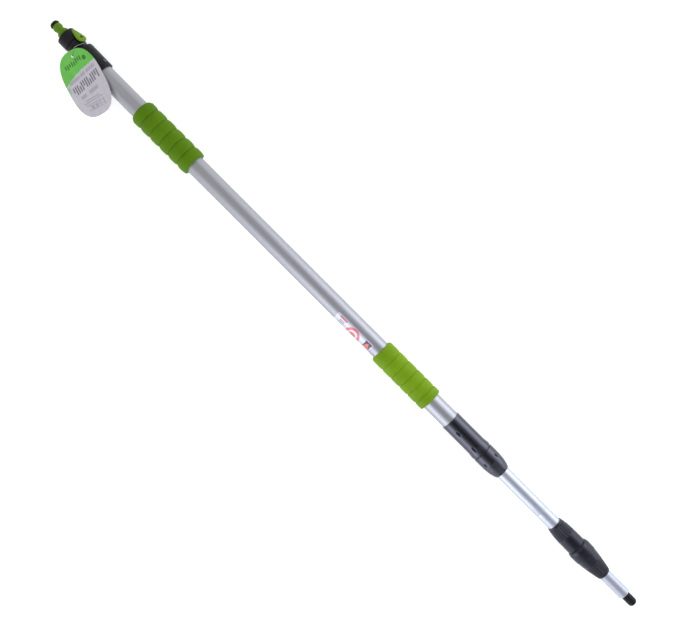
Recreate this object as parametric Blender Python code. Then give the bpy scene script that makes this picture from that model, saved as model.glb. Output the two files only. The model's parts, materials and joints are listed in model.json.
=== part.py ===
"""Telescopic water-fed wash pole: three aluminium sections, two twist locks,
a ball valve with a quick-connect hose nipple, a threaded brush tip and a hang
tag on a string.

The pole lies on the floor along +X (brush end at +X).  Its axis is AXIS_Z
above the floor and the origin is below the middle of its length.  Lengths in
the outlines are millimetres along the pole and radii from its axis.
"""
import math

import bmesh
import bpy
from mathutils import Matrix, Vector

for item in list(bpy.data.objects):
    bpy.data.objects.remove(item, do_unlink=True)

# ---------------------------------------------------------------- dimensions
MM = 0.001
SIDES = 20                      # flats on every round piece
FLAT = 1.0 / math.cos(math.pi / SIDES)
GAP = 0.3                       # clearance between touching pieces, mm

AXIS_Z = 20.8                   # pole axis above the floor = upper grip radius
NIPPLE_END = -627.7
TIP_END = 627.7

OUTER_TUBE_R, OUTER_TUBE_BORE = 15.0, 14.0
MIDDLE_TUBE_R, MIDDLE_TUBE_BORE = 11.0, 10.0
INNER_TUBE_R, INNER_TUBE_BORE = 9.5, 8.5
OUTER_TUBE_X = (-548.6, 285.0)
MIDDLE_TUBE_X = (-544.0, 483.0)
INNER_TUBE_X = (-533.6, 606.8)

UPPER_GRIP_X = (-438.0, -322.0)
UPPER_GRIP_R = 20.8
UPPER_GRIP_LOBES = 6
LOWER_GRIP_X = (80.0, 188.0)
LOWER_GRIP_R = 19.8
LOWER_GRIP_GROOVES = 5

LABEL_X = (-7.0, 67.0)
LABEL_FACETS = 6                # 108 degrees of wrap
VALVE_X = -578.3                # ball and lever pivot
VALVE_TURN = 54.0               # lever direction, degrees from +Z towards +Y
BALL_R = 7.0
LEVER_BASE = 16.2
LEVER_TOP = 19.7
LEVER_FRONT, LEVER_BACK = 7.6, 18.4     # from the pivot, towards the brush and hose ends
LEVER_HALF, LEVER_TAPER = 9.2, 4.4      # half width at the pivot, and how much it loses
RIVET_X = -527.9
RIVET_TURN = 58.0

TAG_LENGTH, TAG_WIDTH, TAG_THICK = 103.0, 76.0, 0.6
TAG_POWER = 2.7                 # super-ellipse exponent of the card
TAG_CENTRE = (-526.65, 22.74)   # along the pole, down the card
TAG_TURN = 22.0                 # long side of the card against the pole
TAG_LEAN = 33.35                # slope of the card
TAG_LIFT = 19.2                 # card's underside from the pole axis
TAG_HOLE = (-42.95, -1.28)      # in the card's own length and width
TAG_HOLE_R = 2.3
STRING_R = 0.4


# ------------------------------------------------------------------- helpers
def material(name, colour, roughness, metallic=0.0):
    made = bpy.data.materials.get(name)
    if made is None:
        made = bpy.data.materials.new(name)
        made.use_nodes = True
        shader = made.node_tree.nodes["Principled BSDF"]
        shader.inputs["Base Color"].default_value = (*colour, 1.0)
        shader.inputs["Roughness"].default_value = roughness
        shader.inputs["Metallic"].default_value = metallic
        made.diffuse_color = (*colour, 1.0)
    return made


def empty(name, location, turn=0.0):
    """A guide on a joint's axis; turn rolls it about X, from +Z towards +Y."""
    made = bpy.data.objects.new(name, None)
    made.empty_display_size = 0.01
    made.location = location
    made.rotation_euler = (-math.radians(turn), 0.0, 0.0)
    bpy.context.collection.objects.link(made)
    return made


def finish(name, bm, colour, location=(0.0, 0.0, 0.0), parent=None, angle=35.0):
    bmesh.ops.remove_doubles(bm, verts=bm.verts, dist=1e-6)
    bmesh.ops.recalc_face_normals(bm, faces=bm.faces)
    if bm.calc_volume(signed=True) < 0.0:
        bmesh.ops.reverse_faces(bm, faces=bm.faces)
    mesh = bpy.data.meshes.new(name)
    bm.to_mesh(mesh)
    bm.free()
    mesh.shade_smooth()
    mesh.set_sharp_from_angle(angle=math.radians(angle))
    mesh.materials.append(colour)
    made = bpy.data.objects.new(name, mesh)
    made.location = location
    made.parent = parent
    bpy.context.collection.objects.link(made)
    return made


def turned(name, outline, colour, home=0.0, parent=None, sides=SIDES,
           facets=None, first=0, along="X", flat=None, location=None):
    """Spin a closed (position, radius) outline about the pole's axis.

    facets < sides leaves a gap, and both ends are closed.  Radii are given at
    the flats.  along="Z" spins about the local Z axis instead of X.
    """
    flat = (1.0 / math.cos(math.pi / sides)) if flat is None else flat
    step = 2.0 * math.pi / sides
    facets = sides if facets is None else facets
    begin = (first + 0.5) * step
    bm = bmesh.new()
    ring = []
    for pos, radius in outline:
        u, r = (pos - home) * MM, radius * flat * MM
        if along == "X":
            ring.append(bm.verts.new((u, -r * math.sin(begin), r * math.cos(begin))))
        else:
            ring.append(bm.verts.new((r * math.cos(begin), r * math.sin(begin), u)))
    edges = [bm.edges.new((ring[i], ring[(i + 1) % len(ring)])) for i in range(len(ring))
             if not (outline[i][1] == 0.0 and outline[(i + 1) % len(ring)][1] == 0.0)]
    whole = facets == sides
    axis = (1.0, 0.0, 0.0) if along == "X" else (0.0, 0.0, 1.0)
    start_cap = None if whole else list(ring)
    result = bmesh.ops.spin(bm, geom=ring + edges, axis=axis, cent=(0.0, 0.0, 0.0),
                            angle=step * facets, steps=facets, use_merge=whole,
                            use_normal_flip=False, use_duplicate=False)
    if not whole:
        bm.faces.new(start_cap)
        last = [v for v in result["geom_last"] if isinstance(v, bmesh.types.BMVert)]
        turn = Matrix.Rotation(step * facets, 3, Vector(axis))
        order = []
        for v in start_cap:
            goal = turn @ v.co
            order.append(min(last, key=lambda w: (w.co - goal).length))
        bm.faces.new(order)
    if location is None:
        location = (home * MM, 0.0, AXIS_Z * MM) if parent is None and along == "X" else (0.0, 0.0, 0.0)
    return finish(name, bm, colour, location, parent)


def block(name, low, high, colour, parent=None):
    bm = bmesh.new()
    bmesh.ops.create_cube(bm, size=1.0)
    for v in bm.verts:
        v.co = Vector([(low[k] + high[k]) / 2 + v.co[k] * (high[k] - low[k]) for k in range(3)]) * MM
    return finish(name, bm, colour, parent=parent)


def cut(target, cutter, operation="DIFFERENCE"):
    cutter.hide_render = True
    cutter.display_type = "WIRE"
    made = target.modifiers.new(operation.lower() + "_" + cutter.name, "BOOLEAN")
    made.operation = operation
    made.solver = "EXACT"
    made.object = cutter


def sphere_arc(centre, radius, low_r, high_r, side, count):
    """Points on a ball's surface between two radii, on its +1 or -1 side."""
    points = []
    for i in range(count):
        r = low_r + (high_r - low_r) * i / (count - 1)
        points.append((centre + side * math.sqrt(radius * radius - r * r), r))
    return points


# ----------------------------------------------------------------- materials
BLACK = material("black_plastic", (0.016, 0.016, 0.019), 0.38)
DARK = material("lock_plastic", (0.030, 0.032, 0.042), 0.36)
GREEN = material("green_plastic", (0.115, 0.235, 0.012), 0.42)
SOFT_GREEN = material("green_grip", (0.115, 0.270, 0.010), 0.55)
ANODISED = material("anodised_aluminium", (0.62, 0.62, 0.65), 0.36, 0.9)
POLISHED = material("polished_aluminium", (0.80, 0.81, 0.84), 0.18, 1.0)
RUBBER = material("black_rubber", (0.012, 0.012, 0.012), 0.6)
ACETAL = material("white_acetal", (0.72, 0.71, 0.66), 0.35)
CHROMED = material("chromed_ball", (0.78, 0.78, 0.80), 0.12, 1.0)
STEEL = material("steel", (0.42, 0.42, 0.43), 0.35, 1.0)
LABEL = material("label_film", (0.74, 0.75, 0.77), 0.3)
CARD = material("card", (0.35, 0.58, 0.28), 0.5)
STRING = material("string", (0.72, 0.70, 0.66), 0.8)

# --------------------------------------------------------------- hose nipple
NIPPLE_BORE = 4.0
turned("hose_nipple", [
    (NIPPLE_END, NIPPLE_BORE), (NIPPLE_END, 5.8), (-626.6, 6.5),
    (-626.6, 5.4), (-621.6, 5.4), (-621.6, 7.1), (-620.4, 7.1),
    (-618.6, 7.8), (-616.2, 7.8), (-613.4, 6.6), (-611.3, 6.6),
    (-607.2, 9.5), (-595.9, 9.5), (-595.9, 12.6),
    (-593.4, 12.6), (-593.4, NIPPLE_BORE)], GREEN, home=-607.4)

NIPPLE_RING_X, NIPPLE_RING_R = -624.1, 6.75
turned("nipple_o_ring", [
    (NIPPLE_RING_X + 2.2 * math.cos(a), NIPPLE_RING_R + 1.05 * math.sin(a))
    for a in [math.radians(45 * k) for k in range(8)]], RUBBER, home=NIPPLE_RING_X)

turned("nipple_washer", [(-593.1, 4.6), (-593.1, 12.4), (-591.4, 12.4), (-591.4, 4.6)],
       RUBBER, home=-592.2)

turned("union_nut", [
    (-600.8, 9.9), (-600.8, 14.7), (-599.8, 15.75), (-583.2, 15.75), (-582.3, 15.2),
    (-582.3, 13.5), (-596.2, 13.5), (-596.2, 9.9)], BLACK, home=-592.0)

# --------------------------------------------------------------------- valve
valve_body = turned("valve_body", [
    (-591.1, 8.3), (-591.1, 12.7), (-590.6, 13.1), (-582.0, 13.1), (-582.0, 14.5),
    (-581.4, 14.9), (-571.6, 14.9), (-570.7, 14.2), (-570.7, 10.25), (-564.3, 10.25),
    (-564.3, 9.0), (-553.6, 9.0), (-553.6, 4.5), (-570.3, 4.5), (-570.3, 8.3)],
    BLACK, home=VALVE_X)

turned("valve_seat_inlet", [(-590.8, 4.6)]
       + sphere_arc(VALVE_X, BALL_R + 0.35, 4.6, 6.6, -1, 4)
       + [(VALVE_X - 3.3, 7.9), (-590.8, 7.9)], ACETAL, home=VALVE_X)
turned("valve_seat_outlet", [(-570.6, 4.6)]
       + sphere_arc(VALVE_X, BALL_R + 0.35, 4.6, 6.6, 1, 4)
       + [(VALVE_X + 3.3, 7.9), (-570.6, 7.9)], ACETAL, home=VALVE_X)

valve_axis = empty("valve_axis", (VALVE_X * MM, 0.0, AXIS_Z * MM), VALVE_TURN)

BALL_BORE = 4.4
half = math.sqrt(BALL_R ** 2 - BALL_BORE ** 2)
spread = math.acos(half / BALL_R)
ball = turned("valve_ball", [
    (BALL_R * math.cos(a), BALL_R * math.sin(a))
    for a in [spread + (math.pi - 2 * spread) * k / 6 for k in range(7)]],
    CHROMED, parent=valve_axis)
cut(ball, block("cut_ball_slot", (-1.3, -9.0, 5.2), (1.3, 9.0, 9.0), STEEL, valve_axis))

boss = turned("cut_valve_boss", [(11.0, 0.0), (11.0, 3.5), (15.5, 3.5), (15.8, 3.2), (15.8, 0.0)],
              BLACK, parent=valve_axis, along="Z", sides=20)
cut(valve_body, boss, "UNION")
cut(valve_body, turned("cut_stem_hole", [(6.0, 0.0), (6.0, 2.5), (17.0, 2.5), (17.0, 0.0)],
                       BLACK, parent=valve_axis, along="Z", sides=16))

stem = turned("valve_stem", [
    (7.45, 0.0), (7.45, 2.2), (11.4, 2.2), (11.4, 1.5), (13.3, 1.5), (13.3, 2.2),
    (15.9, 2.2), (15.9, 1.9), (17.8, 1.9), (17.8, 1.15), (13.9, 1.15), (13.9, 0.0)],
    STEEL, parent=valve_axis, along="Z", sides=16)
cut(stem, block("cut_stem_tang", (-1.0, -2.0, 5.5), (1.0, 2.0, 8.0), STEEL, valve_axis), "UNION")

turned("stem_o_ring", [(11.7, 1.8), (11.7, 2.2), (13.0, 2.2), (13.0, 1.8)],
       RUBBER, parent=valve_axis, along="Z", sides=16)


def lever_edge(angle, scale):
    """Edge of the lever seen along its pivot: blunt ended, narrower at the back."""
    c, s = math.cos(angle), math.sin(angle)
    x = math.copysign(abs(c) ** 0.8, c) * (LEVER_FRONT if c > 0.0 else LEVER_BACK)
    half = LEVER_HALF - LEVER_TAPER * max(0.0, -x) / LEVER_BACK
    return x * scale, math.copysign(abs(s) ** 0.8, s) * half * scale


LEVER_POINTS = 32
LEVER_BORE = 2.3
bm = bmesh.new()
levels = [(LEVER_BASE, 0.94, None), (LEVER_BASE + 0.5, 1.0, None), (LEVER_BASE + 1.5, 1.0, None),
          (LEVER_BASE + 2.7, 0.86, None), (LEVER_TOP - 0.2, 0.62, None),
          (LEVER_TOP, None, LEVER_BORE), (LEVER_BASE, None, LEVER_BORE)]
loops = []
for height, scale, bore in levels:
    loop = []
    for k in range(LEVER_POINTS):
        a = 2.0 * math.pi * k / LEVER_POINTS
        x, y = (bore * math.cos(a), bore * math.sin(a)) if bore else lever_edge(a, scale)
        loop.append(bm.verts.new((x * MM, y * MM, height * MM)))
    loops.append(loop)
for j in range(len(loops)):
    here, there = loops[j], loops[(j + 1) % len(loops)]
    for k in range(LEVER_POINTS):
        n = (k + 1) % LEVER_POINTS
        bm.faces.new((here[k], here[n], there[n], there[k]))
finish("valve_lever", bm, GREEN, parent=valve_axis)

turned("lever_screw", [
    (14.3, 0.0), (14.3, 0.85), (18.15, 0.85), (18.15, 1.95), (18.7, 1.95), (18.95, 1.6),
    (18.95, 0.8), (18.5, 0.7), (18.5, 0.0)], STEEL, parent=valve_axis, along="Z", sides=16)

# -------------------------------------------------- end coupling, outer tube
coupling = turned("end_coupling", [
    (-564.0, 9.3), (-564.0, 16.9), (-563.4, 18.0), (-562.0, 18.75), (-519.4, 18.05),
    (-518.0, 17.2), (-518.0, 15.35), (-551.3, 15.35), (-551.3, 9.3)], BLACK, home=-541.0)
turned("coupling_gasket", [(-551.0, 10.5), (-551.0, 15.0), (-548.9, 15.0), (-548.9, 10.5)],
       RUBBER, home=-550.0)
outer_tube = turned("outer_tube", [
    (OUTER_TUBE_X[0], OUTER_TUBE_BORE), (OUTER_TUBE_X[0], OUTER_TUBE_R),
    (OUTER_TUBE_X[1], OUTER_TUBE_R), (OUTER_TUBE_X[1], OUTER_TUBE_BORE)], ANODISED)

rivet_axis = empty("rivet_axis", (RIVET_X * MM, 0.0, AXIS_Z * MM), RIVET_TURN)
cut(coupling, turned("cut_rivet_bore", [
    (12.0, 0.0), (12.0, 1.85), (17.3, 1.85), (17.3, 2.6), (20.0, 2.6), (20.0, 0.0)],
    BLACK, parent=rivet_axis, along="Z", sides=16))
cut(outer_tube, turned("cut_tube_bore", [
    (12.0, 0.0), (12.0, 1.85), (17.0, 1.85), (17.0, 0.0)],
    BLACK, parent=rivet_axis, along="Z", sides=16))
turned("coupling_rivet", [
    (14.15, 0.0), (14.15, 1.5), (17.65, 1.5), (17.65, 2.25), (18.25, 2.25), (18.6, 1.6),
    (18.6, 0.0)], STEEL, parent=rivet_axis, along="Z", sides=16)

# --------------------------------------------------------------------- grips
TUBE_FIT = OUTER_TUBE_R + GAP


def lobed(low, high, radius, lobes, deep):
    """Soft lobes in a row; the first end is rounded, the last has a rim."""
    points = [(low, TUBE_FIT), (low, radius - 3.4), (low + 1.2, radius - 1.6)]
    pitch = (high - low) / lobes
    for k in range(lobes):
        start = low + pitch * k
        points.append((start + pitch * 0.28, radius))
        points.append((start + pitch * 0.72, radius))
        if k < lobes - 1:
            points.append((start + pitch, radius - deep))
    points += [(high, radius - 0.9), (high, TUBE_FIT)]
    return points


turned("upper_grip", lobed(*UPPER_GRIP_X, UPPER_GRIP_R, UPPER_GRIP_LOBES, 1.9),
       SOFT_GREEN, home=-380.0)


def grooved(low, high, radius, grooves, deep):
    """A straight sleeve with a row of thin grooves and rounded ends."""
    points = [(low, TUBE_FIT), (low, radius - 2.4), (low + 1.4, radius - 0.7),
              (low + 4.0, radius)]
    first, last = low + 22.0, high - 14.0
    for k in range(grooves):
        at = first + (last - first) * k / (grooves - 1)
        points += [(at - 1.2, radius), (at, radius - deep), (at + 1.2, radius)]
    points += [(high - 2.0, radius), (high - 0.5, radius - 0.5), (high, radius - 1.4),
               (high, TUBE_FIT)]
    return points


turned("lower_grip", grooved(*LOWER_GRIP_X, LOWER_GRIP_R, LOWER_GRIP_GROOVES, 1.1),
       SOFT_GREEN, home=134.0)

turned("tube_label", [
    (LABEL_X[0], TUBE_FIT), (LABEL_X[0], TUBE_FIT + 0.2),
    (LABEL_X[1], TUBE_FIT + 0.2), (LABEL_X[1], TUBE_FIT)], LABEL, home=30.0,
    facets=LABEL_FACETS)

# ------------------------------------------------------ twist lock 1 (outer)
FIT1 = MIDDLE_TUBE_R + GAP
turned("lock1_sleeve", [
    (231.3, TUBE_FIT + 0.05), (231.3, 15.8), (232.3, 16.2), (285.0, 16.3), (296.0, 16.8),
    (299.5, 17.0), (299.5, 14.2), (318.0, 14.2), (318.0, 12.7), (300.0, 12.7),
    (300.0, FIT1 + 0.1), (285.4, FIT1 + 0.1), (285.4, TUBE_FIT + 0.05)], DARK, home=265.0)
turned("lock1_seal", [(300.3, FIT1), (300.3, 12.4), (303.0, 12.4), (303.0, FIT1)],
       RUBBER, home=301.6)
turned("lock1_collet", [
    (303.4, FIT1), (303.4, 12.4), (318.6, 12.4), (319.2, 13.9), (322.5, 13.9),
    (329.5, 12.3), (330.5, FIT1)], ACETAL, home=317.0, facets=SIDES - 1)
turned("lock1_collar", [
    (299.9, 14.6), (299.9, 16.9), (300.6, 17.2), (320.0, 17.2), (328.0, 16.9),
    (334.0, 15.6), (338.6, 14.0), (341.8, 12.7), (343.0, 11.9), (343.0, FIT1 + 0.15),
    (331.6, FIT1 + 0.15), (331.2, 12.7), (323.0, 14.4), (322.0, 14.6)], DARK, home=321.0)

# ------------------------------------------------------------ middle section
turned("middle_tube", [
    (MIDDLE_TUBE_X[0], MIDDLE_TUBE_BORE), (MIDDLE_TUBE_X[0], MIDDLE_TUBE_R),
    (MIDDLE_TUBE_X[1], MIDDLE_TUBE_R), (MIDDLE_TUBE_X[1], MIDDLE_TUBE_BORE)], POLISHED)
turned("middle_tube_bush", [
    (-546.0, 8.2), (-546.0, 13.2), (-545.5, 13.6), (-530.0, 13.6), (-530.0, 12.3),
    (-526.6, 12.3), (-526.6, 13.6), (-501.5, 13.6), (-501.0, 13.2), (-501.0, FIT1),
    (-544.3, FIT1), (-544.3, 8.2)], ACETAL, home=-524.0)
turned("middle_tube_o_ring", [
    (-529.6, 12.6), (-529.6, 13.4), (-529.1, 13.7), (-527.5, 13.7), (-527.0, 13.4),
    (-527.0, 12.6)], RUBBER, home=-528.3)

# ------------------------------------------------------ twist lock 2 (inner)
FIT2 = INNER_TUBE_R + GAP
turned("lock2_sleeve", [
    (455.3, FIT1 + 0.05), (455.3, 12.3), (456.0, 12.7), (463.0, 13.8), (470.0, 14.7),
    (478.0, 15.3), (503.0, 15.7), (503.0, 13.3), (519.0, 13.3), (519.0, 11.3),
    (497.0, 11.3), (497.0, FIT2 + 0.1), (483.4, FIT2 + 0.1), (483.4, FIT1 + 0.05)],
    DARK, home=480.0)
turned("lock2_seal", [(497.3, FIT2), (497.3, 11.0), (500.3, 11.0), (500.3, FIT2)],
       RUBBER, home=498.8)
turned("lock2_collet", [
    (500.7, FIT2), (500.7, 11.0), (519.6, 11.0), (520.2, 12.6), (523.5, 12.6),
    (532.0, 10.8), (533.0, FIT2)], ACETAL, home=517.0, facets=SIDES - 1)
turned("lock2_collar", [
    (503.4, 13.7), (503.4, 16.6), (506.0, 17.7), (512.5, 18.25),
    (523.0, 18.0), (526.0, 17.3), (546.0, 14.2), (561.5, 11.4), (563.5, 10.6), (563.5, FIT2 + 0.15), (534.6, FIT2 + 0.15),
    (533.9, 11.2), (524.4, 13.1), (523.0, 13.7)], DARK, home=533.0)

# ------------------------------------------------------------- inner section
turned("inner_tube", [
    (INNER_TUBE_X[0], INNER_TUBE_BORE), (INNER_TUBE_X[0], INNER_TUBE_R),
    (INNER_TUBE_X[1], INNER_TUBE_R), (INNER_TUBE_X[1], INNER_TUBE_BORE)], ANODISED)
turned("inner_tube_plug", [
    (-543.0, 5.0), (-543.0, 9.2), (-542.6, 9.6), (-540.2, 9.6), (-540.2, 8.6),
    (-537.2, 8.6), (-537.2, 9.6), (-534.0, 9.6), (-534.0, 8.1), (-515.0, 8.1),
    (-515.0, 5.0)], ACETAL, home=-529.0)
turned("inner_tube_o_ring", [
    (-539.8, 8.9), (-539.8, 9.4), (-539.3, 9.7), (-538.1, 9.7), (-537.6, 9.4),
    (-537.6, 8.9)], RUBBER, home=-538.7)

TIP_BORE = 3.4
THREADS, THREAD_PITCH = 5, 3.0
tip = [(588.0, TIP_BORE), (588.0, 7.8), (588.6, 8.15), (596.0, 8.15), (596.0, 7.0),
       (599.0, 7.0), (599.0, 8.15), (606.7, 8.15), (607.2, 6.5)]
for turn in range(THREADS):
    start = 608.4 + THREAD_PITCH * turn
    tip += [(start, 6.45), (start + 0.9, 7.15)]
tip += [(623.6, 6.75), (625.8, 6.2), (627.1, 5.5), (TIP_END, 4.7), (TIP_END, TIP_BORE)]
turned("tip_connector", tip, BLACK, home=607.0)
turned("tip_o_ring", [
    (596.3, 7.3), (596.3, 7.9), (596.8, 8.2), (598.2, 8.2), (598.7, 7.9), (598.7, 7.3)],
    RUBBER, home=597.5)

# ------------------------------------------------------------------ hang tag
tag_axis = empty("tag_axis", (-567.0 * MM, 0.0, AXIS_Z * MM))
LEAN = math.radians(TAG_LEAN)
TURN = math.radians(TAG_TURN)
OUT = Vector((0.0, -math.sin(LEAN), math.cos(LEAN)))      # away from the pole
DOWN = Vector((0.0, -math.cos(LEAN), -math.sin(LEAN)))    # down the card
ALONG = Vector((1.0, 0.0, 0.0))
HOME = Vector((-567.0, 0.0, 0.0))


def on_card(u, v, lift):
    """A point of the card, from its own length, width and height, in mm."""
    a = TAG_CENTRE[0] + u * math.cos(TURN) - v * math.sin(TURN)
    b = TAG_CENTRE[1] + u * math.sin(TURN) + v * math.cos(TURN)
    return ALONG * a + DOWN * b + OUT * lift - HOME


def power(value, exponent):
    return math.copysign(abs(value) ** exponent, value)


CARD_POINTS = 44
bm = bmesh.new()
rings = {}
for level, lift in enumerate((TAG_LIFT, TAG_LIFT + TAG_THICK)):
    rim, hole = [], []
    for k in range(CARD_POINTS):
        t = 2.0 * math.pi * k / CARD_POINTS
        u = power(math.cos(t), 2.0 / TAG_POWER) * TAG_LENGTH / 2
        v = power(math.sin(t), 2.0 / TAG_POWER) * TAG_WIDTH / 2
        rim.append(bm.verts.new(on_card(u, v, lift) * MM))
        away = math.atan2(v - TAG_HOLE[1], u - TAG_HOLE[0])
        hole.append((away, on_card(TAG_HOLE[0] + TAG_HOLE_R * math.cos(away),
                                   TAG_HOLE[1] + TAG_HOLE_R * math.sin(away), lift) * MM))
    rings[level] = (rim, [bm.verts.new(p) for _, p in hole])
for k in range(CARD_POINTS):
    n = (k + 1) % CARD_POINTS
    (rim0, hole0), (rim1, hole1) = rings[0], rings[1]
    bm.faces.new((rim0[k], hole0[k], hole0[n], rim0[n]))
    bm.faces.new((rim1[k], rim1[n], hole1[n], hole1[k]))
    bm.faces.new((rim0[k], rim0[n], rim1[n], rim1[k]))
    bm.faces.new((hole0[k], hole1[k], hole1[n], hole0[n]))
finish("hang_tag", bm, CARD, parent=tag_axis)

# The string leaves a knot under the neck, comes up through the card's hole,
# lies over the card's edge and goes round the neck back to the knot.
KNOT = Vector((-567.4, -1.0, -12.9))
hole_mid = on_card(*TAG_HOLE, 0.0) + HOME


def above_hole(lift, shift=0.0):
    return hole_mid + OUT * lift - DOWN * shift


ROUTE = [
    KNOT + Vector((0.0, -1.6, 0.3)), Vector((-567.4, -6.5, -11.6)),
    Vector((-567.3, -11.4, -7.4)), Vector((-567.2, -13.6, -1.0)),
    Vector((-566.9, -13.9, 5.0)), above_hole(14.6, -0.3), above_hole(17.4),
    above_hole(19.6, 0.3), above_hole(21.2, 1.8), above_hole(21.0, 4.6) + Vector((-1.6, 0, 0)),
    above_hole(20.6, 9.0) + Vector((-3.0, 0, 0)), above_hole(20.4, 13.6) + Vector((-3.8, 0, 0)),
    above_hole(19.0, 18.4) + Vector((-2.4, 0, 0)), Vector((-568.4, 8.2, 14.8)),
    Vector((-568.5, 12.2, 9.4)), Vector((-568.5, 13.6, 3.0)), Vector((-568.3, 12.8, -4.0)),
    Vector((-568.2, 9.4, -9.2)), Vector((-567.8, 4.4, -12.2)), KNOT + Vector((0.0, 1.6, 0.2))]


def smooth_route(points, spacing):
    """Evenly spaced points on a Catmull-Rom curve through the given ones."""
    fine = []
    for i in range(len(points) - 1):
        p0 = points[max(i - 1, 0)]
        p1, p2 = points[i], points[i + 1]
        p3 = points[min(i + 2, len(points) - 1)]
        for k in range(12):
            t = k / 12.0
            fine.append(0.5 * ((2 * p1) + (p2 - p0) * t + (2 * p0 - 5 * p1 + 4 * p2 - p3) * t ** 2
                               + (3 * p1 - p0 - 3 * p2 + p3) * t ** 3))
    fine.append(points[-1])
    lengths = [0.0]
    for a, b in zip(fine, fine[1:]):
        lengths.append(lengths[-1] + (b - a).length)
    count = max(2, int(round(lengths[-1] / spacing)))
    out, j = [], 0
    for k in range(count + 1):
        goal = lengths[-1] * k / count
        while j < len(fine) - 2 and lengths[j + 1] < goal:
            j += 1
        share = (goal - lengths[j]) / max(lengths[j + 1] - lengths[j], 1e-9)
        out.append(fine[j].lerp(fine[j + 1], min(max(share, 0.0), 1.0)))
    return out


route = smooth_route([Vector(p) - HOME for p in ROUTE], STRING_R * 4.6)
curve = bpy.data.curves.new("tag_string", "CURVE")
curve.dimensions = "3D"
curve.bevel_depth = STRING_R * MM
curve.bevel_resolution = 2
curve.use_fill_caps = True
spline = curve.splines.new("POLY")
spline.points.add(len(route) - 1)
for point, place in zip(spline.points, route):
    point.co = (*(place * MM), 1.0)
curve.materials.append(STRING)
string = bpy.data.objects.new("tag_string", curve)
string.parent = tag_axis
bpy.context.collection.objects.link(string)

bm = bmesh.new()
bmesh.ops.create_icosphere(bm, subdivisions=2, radius=1.2 * MM)
for v in bm.verts:
    v.co = Vector((v.co.x * 1.15, v.co.y * 0.92, v.co.z)) + (KNOT - HOME) * MM
finish("string_knot", bm, STRING, parent=tag_axis, angle=60.0)
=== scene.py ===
"""Looks for the telescopic water-fed wash pole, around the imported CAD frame.

Lengths in the profiles are millimetres: (position along the pole, radius).
"""
import json
import math
import random

import bmesh
import bpy
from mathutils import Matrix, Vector, noise


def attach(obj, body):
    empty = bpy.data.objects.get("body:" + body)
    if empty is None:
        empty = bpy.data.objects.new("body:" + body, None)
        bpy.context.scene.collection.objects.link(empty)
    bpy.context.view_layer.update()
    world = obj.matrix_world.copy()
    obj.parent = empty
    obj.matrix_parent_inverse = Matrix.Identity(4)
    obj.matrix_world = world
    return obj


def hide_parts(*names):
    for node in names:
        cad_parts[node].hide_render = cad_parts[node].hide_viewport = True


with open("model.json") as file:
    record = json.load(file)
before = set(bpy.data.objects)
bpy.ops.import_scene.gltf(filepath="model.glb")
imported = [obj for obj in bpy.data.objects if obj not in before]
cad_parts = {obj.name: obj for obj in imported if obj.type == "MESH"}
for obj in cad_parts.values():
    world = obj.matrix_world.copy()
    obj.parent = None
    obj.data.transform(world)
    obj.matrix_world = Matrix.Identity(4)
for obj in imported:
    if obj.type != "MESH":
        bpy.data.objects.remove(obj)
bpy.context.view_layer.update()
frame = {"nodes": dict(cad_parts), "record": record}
NODES = frame["nodes"]
BODY_OF = {n: b for b, names in frame["record"]["behaviour"]["bodies"].items() for n in names}

MM = 0.001
AXIS_Z = 20.8
TAU = 2.0 * math.pi
random.seed(7)

# ================================================================== camera
scene = bpy.context.scene
camera_data = bpy.data.cameras.new("camera")
camera_data.sensor_width = 36.0
camera_data.lens = 48.39
camera_data.clip_start = 0.02
camera = bpy.data.objects.new("camera", camera_data)
camera.location = (-0.0021, -0.0057, AXIS_Z * MM + 1.398)
camera.rotation_euler = (0.0, 0.0, math.radians(45.0))
scene.collection.objects.link(camera)
scene.camera = camera
scene.view_settings.view_transform = "Standard"

# light levels: the strip of sky overhead by its direction's X, the pale sides, the walls by their X
STRIP = [(-0.60, 1.25), (-0.30, 1.20), (-0.22, 0.72), (-0.14, 0.44), (-0.05, 0.36), (0.05, 0.38), (0.12, 0.26),
         (0.155, 0.04), (0.245, 0.04), (0.275, 0.70), (0.305, 0.12), (0.385, 0.08), (0.42, 1.05), (0.60, 0.85)]
SIDES = 0.62
WALL_LEFT = [(-1.2, 0.50), (-0.60, 0.60), (-0.25, 1.05), (0.12, 2.75), (0.38, 3.5), (0.60, 2.9), (0.80, 2.75), (1.1, 1.9)]
WALL_RIGHT = [(-1.2, 0.50), (-0.60, 0.60), (-0.25, 1.05), (0.12, 2.75), (0.38, 3.5), (0.60, 2.9), (0.80, 2.3), (0.88, 0.6),
              (1.0, 0.55), (1.1, 1.0)]


def cool(x, level, top):
    """A light level as a colour, bluer towards the brush end. top is the level that gives white."""
    t = min(1.0, max(0.0, (x + 0.1) / 0.25))
    return (level / top * (1.0 - 0.05 * t), level / top, level / top * (1.0 + 0.13 * t), 1.0)


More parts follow.
